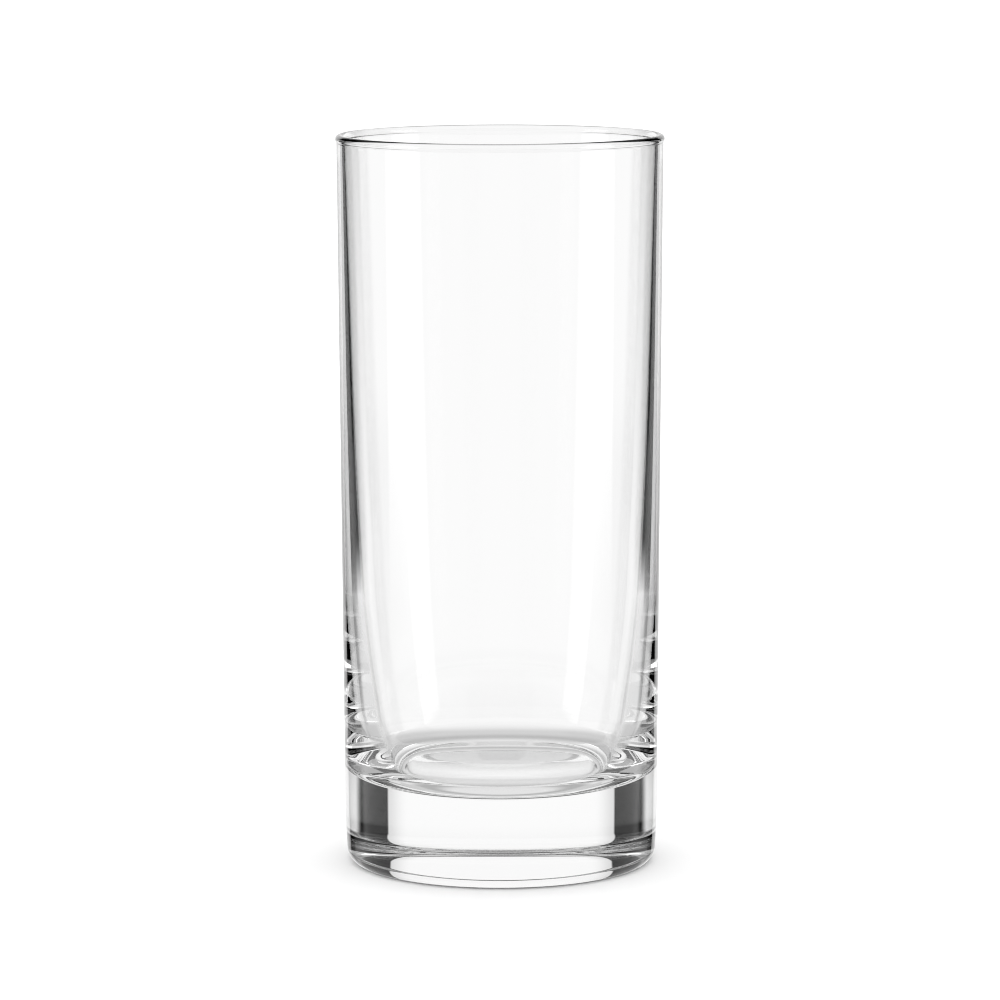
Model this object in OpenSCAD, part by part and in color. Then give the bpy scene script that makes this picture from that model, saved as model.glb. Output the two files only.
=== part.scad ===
// Highball glass: one clear tumbler with a rounded rim, a wall that thickens downwards and a heavy solid base.
// Millimetres, +Z up. The origin is the centre of the foot, on the surface that the glass stands on.

/* [Outside] */
// Height from the table to the top of the rim
height = 145.5; // [110:0.5:190]
// Outside radius of the straight wall, carried down to the table
foot_r = 31.25; // [29.5:0.05:33]
// Outside radius of the straight wall, carried up to the top of the rim
mouth_r = 32.3; // [31:0.05:36]
// Height above the table where the outside starts to tuck in towards the foot
tuck_z = 13.2; // [8:0.1:25]
// Radius of the gentle curve that tucks the outside in
tuck_r = 190; // [100:5:400]
// Radius of the rounded heel under that curve
heel_r = 3.3; // [2:0.1:5]
// Height of the slice that the flat foot takes off the round of the heel
heel_cut = 0.55; // [0.2:0.05:1]
// Radius that eases the heel into the flat foot
edge_r = 0.75; // [0.2:0.05:1]

/* [Rim] */
// Radius of the melted bead on the rim
bead_r = 0.88; // [0.8:0.02:1.3]
// Radius of the small hollow where the bead runs into the outside wall
bead_neck_r = 0.6; // [0.3:0.1:2]
// Wall thickness just under the bead
rim_wall = 1.5; // [1.25:0.05:1.65]

/* [Inside] */
// Thickness of the base at its centre, from the table to the lowest point of the inside
base_t = 14.4; // [10:0.1:17]
// Wall thickness where the inside starts to curve in
bend_wall = 2.3; // [1.8:0.05:3]
// Height above the table where the inside starts to curve in
bend_z = 100; // [90:1:108]
// Radius of the first, almost straight stretch of that curve
bend_r = 2000; // [1400:20:3000]
// Height above the table where the curve tightens
belly_z = 56.5; // [50:0.5:65]
// Radius of the tighter curve of the lower wall
belly_r = 336; // [280:2:450]
// Height above the table where the lower wall turns in towards the floor
hip_z = 31.4; // [28:0.2:36]
// Radius of that turn
hip_r = 75; // [50:1:120]
// Radius of the round corner between the wall and the floor
corner_r = 6.7; // [4:0.1:9]
// Radius of the floor, a shallow bowl
bowl_r = 91; // [70:1:300]

/* [Hidden] */
// Steps along one rounded stretch of the outline, and facets around the glass on screen
ARC_STEPS = 18;
AROUND = 180;

// Points on an arc about c, from angle a to angle b, with both ends
function arc(c, r, a, b) = [for (i = [0 : ARC_STEPS]) c + r * dir(a + (b - a) * i / ARC_STEPS)];
// Unit vector at an angle
function dir(a) = [cos(a), sin(a)];
// Angle of a vector
function angle_of(v) = atan2(v.y, v.x);
// Centre at height z of a circle of radius r that touches a larger circle from within, on its right
function nested(c, big_r, r, z) = [c.x + sqrt(pow(big_r - r, 2) - pow(c.y - z, 2)), z];
// Centre of a circle of radius r that touches two larger circles from within, on the right of the line between them
function nested_in_two(c1, r1, c2, r2, r) =
    let(across = c2 - c1,
        span = norm(across),
        along = (pow(r1 - r, 2) - pow(r2 - r, 2) + span * span) / (2 * span),
        aside = sqrt(pow(r1 - r, 2) - along * along))
    c1 + (along * across + aside * [across.y, -across.x]) / span;

// Outside wall: a slight cone, with its lean and its outward direction
lean = atan((mouth_r - foot_r) / height);
outward = dir(-lean);
upward = dir(90 - lean);

// Foot: the wall tucks in, rounds off at the heel and eases onto the flat underside
tuck_c = [foot_r + tuck_z * tan(lean), tuck_z] - tuck_r * outward;
heel_c = nested(tuck_c, tuck_r, heel_r, heel_r - heel_cut);
heel_a = angle_of(heel_c - tuck_c);
edge_c = nested(heel_c, heel_r, edge_r, edge_r);
edge_a = angle_of(edge_c - heel_c);

// Upper inside wall: a cone from the bend up to the rim
bend_p = [foot_r + bend_z * tan(lean) - bend_wall, bend_z];
inner_lean = atan((mouth_r - rim_wall - bend_p.x) / (height - bend_z));

// Bead: touches the inside wall and the top plane, and stands a little proud of the outside wall
bead_c = [bend_p.x + (height - bead_r - bend_z) * tan(inner_lean) + bead_r / cos(inner_lean), height - bead_r];
bead_depth = (bead_c - [foot_r, 0]) * outward;
neck_c = bead_c + outward * (bead_neck_r - bead_depth)
    - upward * sqrt(pow(bead_r + bead_neck_r, 2) - pow(bead_neck_r - bead_depth, 2));
neck_a = angle_of(neck_c - bead_c);

// Lower inside wall: a long curve that tightens twice on its way down
bend_c = bend_p - bend_r * dir(-inner_lean);
belly_a = asin((belly_z - bend_c.y) / bend_r);
belly_c = bend_c + (bend_r - belly_r) * dir(belly_a);
hip_a = asin((hip_z - belly_c.y) / belly_r);
hip_c = belly_c + (belly_r - hip_r) * dir(hip_a);

// Floor: a shallow bowl, with a round corner that runs into the wall
bowl_c = [0, base_t + bowl_r];
corner_c = nested_in_two(hip_c, hip_r, bowl_c, bowl_r, corner_r);
corner_a = angle_of(corner_c - hip_c);
floor_a = angle_of(corner_c - bowl_c);

// Half of the glass's section, from the centre of the underside, out, up, over the rim and down to the floor
outline = concat(
    [[0, 0]],
    arc(edge_c, edge_r, -90, edge_a),
    arc(heel_c, heel_r, edge_a, heel_a),
    arc(tuck_c, tuck_r, heel_a, -lean),
    arc(neck_c, bead_neck_r, 180 - lean, 180 + neck_a),
    arc(bead_c, bead_r, neck_a, 90),
    arc(bead_c, bead_r, 90, 180 - inner_lean),
    arc(bend_c, bend_r, -inner_lean, belly_a),
    arc(belly_c, belly_r, belly_a, hip_a),
    arc(hip_c, hip_r, hip_a, corner_a),
    arc(corner_c, corner_r, corner_a, floor_a),
    arc(bowl_c, bowl_r, floor_a, -90)
);

module tumbler()
    color([0.86, 0.92, 0.93, 0.4])
        rotate_extrude($fn = AROUND)
            polygon(outline);

tumbler();
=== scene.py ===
import math

import bpy
from bpy.types import NodeSocket
from mathutils import Matrix, Vector


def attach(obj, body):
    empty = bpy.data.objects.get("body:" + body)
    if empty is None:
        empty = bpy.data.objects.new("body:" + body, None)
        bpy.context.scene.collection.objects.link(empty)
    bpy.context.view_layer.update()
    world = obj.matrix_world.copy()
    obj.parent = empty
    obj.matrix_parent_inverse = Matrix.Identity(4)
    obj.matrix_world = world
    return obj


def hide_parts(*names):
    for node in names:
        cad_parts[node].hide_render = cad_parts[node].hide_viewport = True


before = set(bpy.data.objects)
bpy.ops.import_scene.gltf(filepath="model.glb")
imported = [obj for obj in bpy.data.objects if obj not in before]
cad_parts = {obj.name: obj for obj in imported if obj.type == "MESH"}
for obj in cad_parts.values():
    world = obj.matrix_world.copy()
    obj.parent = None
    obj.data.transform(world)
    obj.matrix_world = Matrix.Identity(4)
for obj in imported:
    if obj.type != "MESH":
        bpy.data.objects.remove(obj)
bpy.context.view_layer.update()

MM = 0.001

# Outside of the glass
HEIGHT = 145.5 * MM
FOOT_R = 31.25 * MM
MOUTH_R = 32.3 * MM
TUCK_Z = 13.2 * MM
TUCK_R = 190 * MM
HEEL_R = 3.3 * MM
HEEL_CUT = 0.55 * MM
EDGE_R = 0.75 * MM

# Melted rim
BEAD_R = 0.88 * MM
BEAD_NECK_R = 0.6 * MM
RIM_WALL = 1.5 * MM

# Inside of the glass
BASE_T = 14.4 * MM
BEND_WALL = 2.3 * MM
BEND_Z = 100 * MM
BEND_R = 2000 * MM
BELLY_Z = 56.5 * MM
BELLY_R = 336 * MM
HIP_Z = 31.4 * MM
HIP_R = 75 * MM
CORNER_R = 6.7 * MM
BOWL_R = 91 * MM

# How finely the section and the turn are divided
FACETS_AROUND = 320
FINE_ARC = 24
BEAD_ARC = 36
LONG_ARC = 30
SHORT_ARC = 10
FLAT_STEPS = 6
WALL_STEPS = 30
INNER_WALL_STEPS = 15
WELD = 0.001 * MM

WHITE = (1, 1, 1, 1)

# Clear glass
GLASS_IOR = 1.52
WAVE_SIZE = 35.0
WAVE_DETAIL = 1.0
WAVE_DEPTH = 0.002 * MM
WAVE_STRETCH = 0.35

# Table
TABLE_HALF = 2.0
TABLE_DROP = 0.2 * MM
TABLE_COLOUR = 0.92

# Camera: distance from the axis, height, tilt, roll and focal length in pixels of a 1000 pixel frame
CAMERA_BACK = 959.0 * MM
CAMERA_UP = 204.57 * MM
CAMERA_SIDE = -0.115 * MM
CAMERA_TILT = math.radians(7.839)
CAMERA_ROLL = math.radians(-0.107)
FOCAL_PX = 4851.3
FRAME_PX = 1000
SENSOR = 36.0
CLIP_START = 10 * MM

# How often light is followed on, and how far a picture point is blurred
GLASS_BOUNCES = 32
GLOSS_BOUNCES = 16
FILTER_PX = 1.0

# Light that the bare background and the table get
BACKGROUND_LEVEL = 1.1
TABLE_LEVEL = 1.5

# Lit panel behind the glass: distance from the axis, half width, top, and the foot of its painted reflection
# in the table, which is the panel running on below the table's level
PANEL_BACK = 300 * MM
PANEL_HALF = 188 * MM
PANEL_SOFT = 8 * MM
PANEL_TOP = 230 * MM
REFLECTION_FOOT = -210 * MM
PANEL_LEVEL = 0.97
# Where the panel starts to dim sideways, and where its painted reflection below the table starts to dim
# downwards, and by how much each has dimmed at its edges
PANEL_DIM_FROM = 125 * MM
PANEL_DIM = 0.25
REFLECTION_FADE_FROM = -115 * MM
REFLECTION_FADE = 0.35

# Room around the glass, and what stands in it. Degrees: bearing is measured to either side from straight
# behind the glass, height from the horizon. Each span is where a patch starts, is full, starts to end
# and has ended.
ROOM_LEVEL = 0.45
PATCHES = [
    # Painted shade: the table under the glass, seen through the base, painted as a glow dimmer than the lit
    # table.
    ("shaded_table_below", (-2, -1, 190, 191), (-91, -90, -66, -52), 0.78),
    ("surround", (36, 40, 190, 191), (-48, -30, -1, 2), 0.95),
    ("beside_panel", (30, 36, 54, 64), (-40, -32, -18, -14), 0.8),
    ("ceiling", (54, 60, 190, 191), (44, 48, 91, 92), 0.65),
    ("above_panel", (-2, -1, 54, 62), (24, 26, 66, 72), 0.18),
    # Painted shade: the table just behind the glass, painted as a glow dimmer than the lit table where the
    # glass shades it.
    ("shaded_table_behind", (-2, -1, 44, 56), (-52, -42, -30, -28), 0.63),
    ("flag", (20, 24, 54, 62), (-15, -13, 26, 34), 0.005),
    ("side_shade", (52, 70, 84, 102), (-26, -18, -12, -9), 0.5),
    ("side_dark", (58, 62, 93, 96), (3, 5, 40, 43), 0.12),
    ("softbox", (91, 94, 113, 117), (-11, -7, 2, 6), 2.5),
    ("camera_side", (140, 150, 190, 191), (1, 4, 12, 16), 0.08),
]


def unit(angle):
    return Vector((math.cos(angle), math.sin(angle)))


def angle_of(v):
    return math.atan2(v.y, v.x)


def nested(centre, big_r, r, z):
    """Centre at height z of a circle of radius r that touches a larger circle from within, on its right."""
    return Vector((centre.x + math.sqrt((big_r - r) ** 2 - (centre.y - z) ** 2), z))


def nested_in_two(c1, r1, c2, r2, r):
    """Centre of a circle that touches two larger ones from within, on the right of the line between them."""
    across = c2 - c1
    span = across.length
    along = ((r1 - r) ** 2 - (r2 - r) ** 2 + span ** 2) / (2 * span)
    aside = math.sqrt((r1 - r) ** 2 - along ** 2)
    return c1 + (along * across + aside * Vector((across.y, -across.x))) / span


def arc(centre, radius, start, end, steps):
    return [centre + radius * unit(start + (end - start) * i / steps) for i in range(steps + 1)]


def straight(a, b, steps):
    return [a.lerp(b, i / steps) for i in range(steps + 1)]


def joined(runs):
    """One line from several runs, without the points where one run ends and the next starts."""
    line = [runs[0][0]]
    for run in runs:
        line += [p for p in run if (p - line[-1]).length > WELD]
    return line


def tumbler_section():
    """Half of the glass's section: under the foot, up the wall, over the rim and down to the floor."""
    lean = math.atan((MOUTH_R - FOOT_R) / HEIGHT)
    outward = unit(-lean)
    upward = unit(math.pi / 2 - lean)
    tuck_c = Vector((FOOT_R + TUCK_Z * math.tan(lean), TUCK_Z)) - TUCK_R * outward
    heel_c = nested(tuck_c, TUCK_R, HEEL_R, HEEL_R - HEEL_CUT)
    heel_a = angle_of(heel_c - tuck_c)
    edge_c = nested(heel_c, HEEL_R, EDGE_R, EDGE_R)
    edge_a = angle_of(edge_c - heel_c)

    bend_p = Vector((FOOT_R + BEND_Z * math.tan(lean) - BEND_WALL, BEND_Z))
    inner_lean = math.atan((MOUTH_R - RIM_WALL - bend_p.x) / (HEIGHT - BEND_Z))
    bead_z = HEIGHT - BEAD_R
    bead_x = bend_p.x + (bead_z - BEND_Z) * math.tan(inner_lean) + BEAD_R / math.cos(inner_lean)
    bead_c = Vector((bead_x, bead_z))
    bead_depth = (bead_c - Vector((FOOT_R, 0))).dot(outward)
    neck_side = BEAD_NECK_R - bead_depth
    neck_drop = math.sqrt((BEAD_R + BEAD_NECK_R) ** 2 - neck_side ** 2)
    neck_c = bead_c + outward * neck_side - upward * neck_drop
    neck_a = angle_of(neck_c - bead_c)

    bend_c = bend_p - BEND_R * unit(-inner_lean)
    belly_a = math.asin((BELLY_Z - bend_c.y) / BEND_R)
    belly_c = bend_c + (BEND_R - BELLY_R) * unit(belly_a)
    hip_a = math.asin((HIP_Z - belly_c.y) / BELLY_R)
    hip_c = belly_c + (BELLY_R - HIP_R) * unit(hip_a)
    bowl_c = Vector((0, BASE_T + BOWL_R))
    corner_c = nested_in_two(hip_c, HIP_R, bowl_c, BOWL_R, CORNER_R)
    corner_a = angle_of(corner_c - hip_c)
    floor_a = angle_of(corner_c - bowl_c)

    edge = arc(edge_c, EDGE_R, -math.pi / 2, edge_a, SHORT_ARC)
    heel = arc(heel_c, HEEL_R, edge_a, heel_a, FINE_ARC)
    tuck = arc(tuck_c, TUCK_R, heel_a, -lean, SHORT_ARC)
    neck = arc(neck_c, BEAD_NECK_R, math.pi - lean, math.pi + neck_a, SHORT_ARC)
    outer_bead = arc(bead_c, BEAD_R, neck_a, math.pi / 2, BEAD_ARC)
    inner_bead = arc(bead_c, BEAD_R, math.pi / 2, math.pi - inner_lean, FINE_ARC)
    bend = arc(bend_c, BEND_R, -inner_lean, belly_a, SHORT_ARC)
    belly = arc(belly_c, BELLY_R, belly_a, hip_a, FINE_ARC)
    hip = arc(hip_c, HIP_R, hip_a, corner_a, FINE_ARC)
    corner = arc(corner_c, CORNER_R, corner_a, floor_a, LONG_ARC)
    bowl = arc(bowl_c, BOWL_R, floor_a, -math.pi / 2, FINE_ARC)
    return joined([
        straight(Vector((0, 0)), edge[0], FLAT_STEPS),
        edge,
        heel,
        tuck,
        straight(tuck[-1], neck[0], WALL_STEPS),
        neck,
        outer_bead,
        inner_bead,
        straight(inner_bead[-1], bend[0], INNER_WALL_STEPS),
        bend,
        belly,
        hip,
        corner,
        bowl,
    ])


def put(tree, kind, inputs=None, **settings):
    """Adds a node, sets its options, and fills each input with a value or a link."""
    made = tree.nodes.new(kind)
    for name, value in settings.items():
        setattr(made, name, value)
    for name, value in (inputs or {}).items():
        if isinstance(value, NodeSocket):
            tree.links.new(value, made.inputs[name])
        else:
            made.inputs[name].default_value = value
    return made


def calc(tree, operation, first, second=0.0):
    return put(tree, "ShaderNodeMath", {0: first, 1: second}, operation=operation).outputs[0]


def whole(tree, operation, first, second):
    return put(tree, "FunctionNodeIntegerMath", {0: first, 1: second}, operation=operation).outputs[0]


def lathe_tree():
    """Geometry nodes that turn a section in the XZ plane about the Z axis into one closed, smooth body."""
    tree = bpy.data.node_groups.new("glass_lathe", "GeometryNodeTree")
    face = tree.interface
    face.new_socket("Section", in_out="INPUT", socket_type="NodeSocketGeometry")
    face.new_socket("Facets Around", in_out="INPUT", socket_type="NodeSocketInt")
    face.new_socket("Weld Distance", in_out="INPUT", socket_type="NodeSocketFloat")
    face.new_socket("Glass", in_out="INPUT", socket_type="NodeSocketMaterial")
    face.new_socket("Body", in_out="OUTPUT", socket_type="NodeSocketGeometry")
    given = put(tree, "NodeGroupInput").outputs

    count = put(tree, "GeometryNodeAttributeDomainSize", {0: given["Section"]}, component="MESH")
    columns = whole(tree, "ADD", given["Facets Around"], 1)
    rows = count.outputs["Point Count"]
    grid = put(tree, "GeometryNodeMeshGrid", {"Vertices X": rows, "Vertices Y": columns})
    index = put(tree, "GeometryNodeInputIndex").outputs[0]
    row = whole(tree, "DIVIDE_FLOOR", index, columns)
    column = whole(tree, "MODULO", index, columns)

    place = put(tree, "GeometryNodeInputPosition").outputs[0]
    sample = put(tree, "GeometryNodeSampleIndex", {"Geometry": given["Section"], "Index": row},
                 data_type="FLOAT_VECTOR", domain="POINT")
    tree.links.new(place, next(s for s in sample.inputs if s.name == "Value" and s.enabled))
    point = next(s for s in sample.outputs if s.enabled)
    step = calc(tree, "DIVIDE", 2 * math.pi, given["Facets Around"])
    angle = calc(tree, "MULTIPLY", column, step)
    turned = put(tree, "ShaderNodeVectorRotate", {"Vector": point, "Angle": angle}, rotation_type="Z_AXIS")
    bent = {"Geometry": grid.outputs["Mesh"], "Position": turned.outputs[0]}
    body = put(tree, "GeometryNodeSetPosition", bent)
    weld = given["Weld Distance"]
    body = put(tree, "GeometryNodeMergeByDistance", {0: body.outputs[0], "Distance": weld})
    body = put(tree, "GeometryNodeFlipFaces", {0: body.outputs[0]})
    body = put(tree, "GeometryNodeSetShadeSmooth", {0: body.outputs[0]})
    body = put(tree, "GeometryNodeRealizeInstances", {0: body.outputs[0]})
    body = put(tree, "GeometryNodeSetMaterial", {0: body.outputs[0], "Material": given["Glass"]})
    put(tree, "NodeGroupOutput", {"Body": body.outputs[0]})
    return tree


def turn_on_lathe(name, section, material):
    """A plain mesh object: the section turned about the Z axis."""
    outline = bpy.data.meshes.new(name + "_section")
    links = [(i, i + 1) for i in range(len(section) - 1)]
    outline.from_pydata([(p.x, 0, p.y) for p in section], links, [])
    blank = bpy.data.objects.new(name + "_blank", outline)
    bpy.context.scene.collection.objects.link(blank)
    lathe = blank.modifiers.new("lathe", "NODES")
    lathe.node_group = lathe_tree()
    sizes = {"Facets Around": FACETS_AROUND, "Weld Distance": WELD, "Glass": material}
    for item in lathe.node_group.interface.items_tree:
        if item.name in sizes:
            lathe[item.identifier] = sizes[item.name]
    graph = bpy.context.evaluated_depsgraph_get()
    mesh = bpy.data.meshes.new_from_object(blank.evaluated_get(graph), depsgraph=graph)
    mesh.name = name
    mesh.materials.clear()
    mesh.materials.append(material)
    blank.modifiers.remove(lathe)
    bpy.data.objects.remove(blank)
    body = bpy.data.objects.new(name, mesh)
    bpy.context.scene.collection.objects.link(body)
    return body


def clear_glass():
    """Clear pressed glass, polished by fire, with the faint waviness that the mould and the cooling leave."""
    material = bpy.data.materials.new("fire_polished_glass")
    material.use_nodes = True
    tree = material.node_tree
    shader = tree.nodes["Principled BSDF"]
    shader.inputs["Base Color"].default_value = WHITE
    shader.inputs["Roughness"].default_value = 0
    shader.inputs["IOR"].default_value = GLASS_IOR
    shader.inputs["Transmission Weight"].default_value = 1
    place = put(tree, "ShaderNodeTexCoord").outputs["Object"]
    stretch = (1, 1, WAVE_STRETCH)
    stretched = put(tree, "ShaderNodeMapping", {"Vector": place, "Scale": stretch}).outputs[0]
    waves = put(tree, "ShaderNodeTexNoise", {"Vector": stretched, "Scale": WAVE_SIZE, "Detail": WAVE_DETAIL})
    bump = put(tree, "ShaderNodeBump", {"Height": waves.outputs[0], "Distance": WAVE_DEPTH})
    tree.links.new(bump.outputs[0], shader.inputs["Normal"])
    return material


def table_finish():
    """Matt white, so that the table's far edge does not show."""
    material = bpy.data.materials.new("white_table")
    material.use_nodes = True
    shader = material.node_tree.nodes["Principled BSDF"]
    shader.inputs["Base Color"].default_value = (TABLE_COLOUR, TABLE_COLOUR, TABLE_COLOUR, 1)
    shader.inputs["Specular IOR Level"].default_value = 0
    return material


def table():
    """A wide pale floor just under the glass, which only the camera and the light see."""
    mesh = bpy.data.meshes.new("table")
    h = TABLE_HALF
    corners = [(-h, -h, -TABLE_DROP), (h, -h, -TABLE_DROP), (h, h, -TABLE_DROP), (-h, h, -TABLE_DROP)]
    mesh.from_pydata(corners, [], [(0, 1, 2, 3)])
    mesh.materials.append(table_finish())
    floor = bpy.data.objects.new("table", mesh)
    floor.visible_transmission = False
    floor.visible_glossy = False
    bpy.context.scene.collection.objects.link(floor)
    return floor


def ramp(tree, value, start, end):
    """0 at the start and 1 at the end, with a smooth rise between."""
    spread = put(tree, "ShaderNodeMapRange", {"Value": value, "From Min": start, "From Max": end},
                 interpolation_type="SMOOTHSTEP")
    return spread.outputs["Result"]


def span_mask(tree, value, span):
    """1 between the middle two values of a span, fading to 0 at its ends."""
    start, full, ending, end = span
    return calc(tree, "MULTIPLY", ramp(tree, value, start, full), ramp(tree, value, end, ending))


def mixed(tree, first, second, mask):
    return put(tree, "ShaderNodeMix", {0: mask, 2: first, 3: second}, data_type="FLOAT").outputs[0]


def panel_glow():
    """White light that dims towards the sides and, in the painted reflection below the table, towards the
    foot, with soft clear edges at the sides.
    """
    material = bpy.data.materials.new("lit_panel")
    material.use_nodes = True
    tree = material.node_tree
    tree.nodes.clear()
    place = put(tree, "ShaderNodeTexCoord").outputs["Object"]
    axes = put(tree, "ShaderNodeSeparateXYZ", {0: place}).outputs
    aside = calc(tree, "ABSOLUTE", axes["X"])
    dimmed = calc(tree, "MULTIPLY", ramp(tree, aside, PANEL_DIM_FROM, PANEL_HALF), PANEL_DIM)
    # Painted reflection: below the table the panel stands in for its own image in the table, and dims towards
    # its foot.
    reflection_faded = calc(tree, "MULTIPLY", ramp(tree, axes["Z"], REFLECTION_FADE_FROM, REFLECTION_FOOT), REFLECTION_FADE)
    level = calc(tree, "MULTIPLY", calc(tree, "SUBTRACT", 1.0, dimmed), PANEL_LEVEL)
    level = calc(tree, "MULTIPLY", level, calc(tree, "SUBTRACT", 1.0, reflection_faded))
    glow = put(tree, "ShaderNodeEmission", {"Strength": level}).outputs[0]
    clear = put(tree, "ShaderNodeBsdfTransparent").outputs[0]
    solid = ramp(tree, aside, PANEL_HALF, PANEL_HALF - PANEL_SOFT)
    seen = put(tree, "ShaderNodeMixShader", {0: solid, 1: clear, 2: glow}).outputs[0]
    put(tree, "ShaderNodeOutputMaterial", {"Surface": seen})
    return material


def light_panel():
    """A lit panel behind the glass that runs on below the table as a painted reflection of itself in the
    table; both show only through and on the glass.
    """
    mesh = bpy.data.meshes.new("light_panel")
    w, back, foot, top = PANEL_HALF, PANEL_BACK, REFLECTION_FOOT, PANEL_TOP
    corners = [(-w, back, foot), (w, back, foot), (w, back, top), (-w, back, top)]
    mesh.from_pydata(corners, [], [(0, 1, 2, 3)])
    mesh.materials.append(panel_glow())
    panel = bpy.data.objects.new("light_panel", mesh)
    panel.visible_camera = False
    panel.visible_diffuse = False
    panel.visible_shadow = False
    bpy.context.scene.collection.objects.link(panel)
    return panel


def studio_light():
    """A pale room with dark flags beside the lit panel and softboxes at the sides."""
    world = bpy.data.worlds.new("white_studio")
    bpy.context.scene.world = world
    world.use_nodes = True
    tree = world.node_tree
    tree.nodes.clear()
    look = put(tree, "ShaderNodeTexCoord").outputs["Generated"]
    x, y, z = put(tree, "ShaderNodeSeparateXYZ", {0: look}).outputs
    bearing = calc(tree, "ABSOLUTE", calc(tree, "DEGREES", calc(tree, "ARCTAN2", x, y)))
    height = calc(tree, "DEGREES", calc(tree, "ARCSINE", z))
    level = ROOM_LEVEL
    for name, bearings, heights, amount in PATCHES:
        across = span_mask(tree, bearing, bearings)
        mask = calc(tree, "MULTIPLY", across, span_mask(tree, height, heights))
        mask.node.label = name
        level = mixed(tree, level, amount, mask)
    path = put(tree, "ShaderNodeLightPath").outputs
    level = mixed(tree, level, TABLE_LEVEL, path["Is Diffuse Ray"])
    level = mixed(tree, level, BACKGROUND_LEVEL, path["Is Camera Ray"])
    sky = put(tree, "ShaderNodeBackground", {"Color": WHITE, "Strength": level})
    put(tree, "ShaderNodeOutputWorld", {"Surface": sky.outputs[0]})


def camera():
    """The photo's viewpoint, with a long lens."""
    lens = bpy.data.cameras.new("camera")
    lens.sensor_width = SENSOR
    lens.lens = FOCAL_PX / FRAME_PX * SENSOR
    lens.clip_start = CLIP_START
    view = bpy.data.objects.new("camera", lens)
    view.location = (CAMERA_SIDE, -CAMERA_BACK, CAMERA_UP)
    aim = Matrix.Rotation(math.pi / 2 - CAMERA_TILT, 3, "X") @ Matrix.Rotation(CAMERA_ROLL, 3, "Z")
    view.rotation_euler = aim.to_euler()
    bpy.context.scene.collection.objects.link(view)
    bpy.context.scene.camera = view


camera()
studio_light()
table()
light_panel()

tumbler = turn_on_lathe("glass_tumbler", tumbler_section(), clear_glass())
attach(tumbler, "root")
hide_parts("tumbler")

scene = bpy.context.scene
scene.view_settings.view_transform = "Standard"
scene.cycles.max_bounces = GLASS_BOUNCES
scene.cycles.transmission_bounces = GLASS_BOUNCES
scene.cycles.glossy_bounces = GLOSS_BOUNCES
scene.cycles.filter_width = FILTER_PX
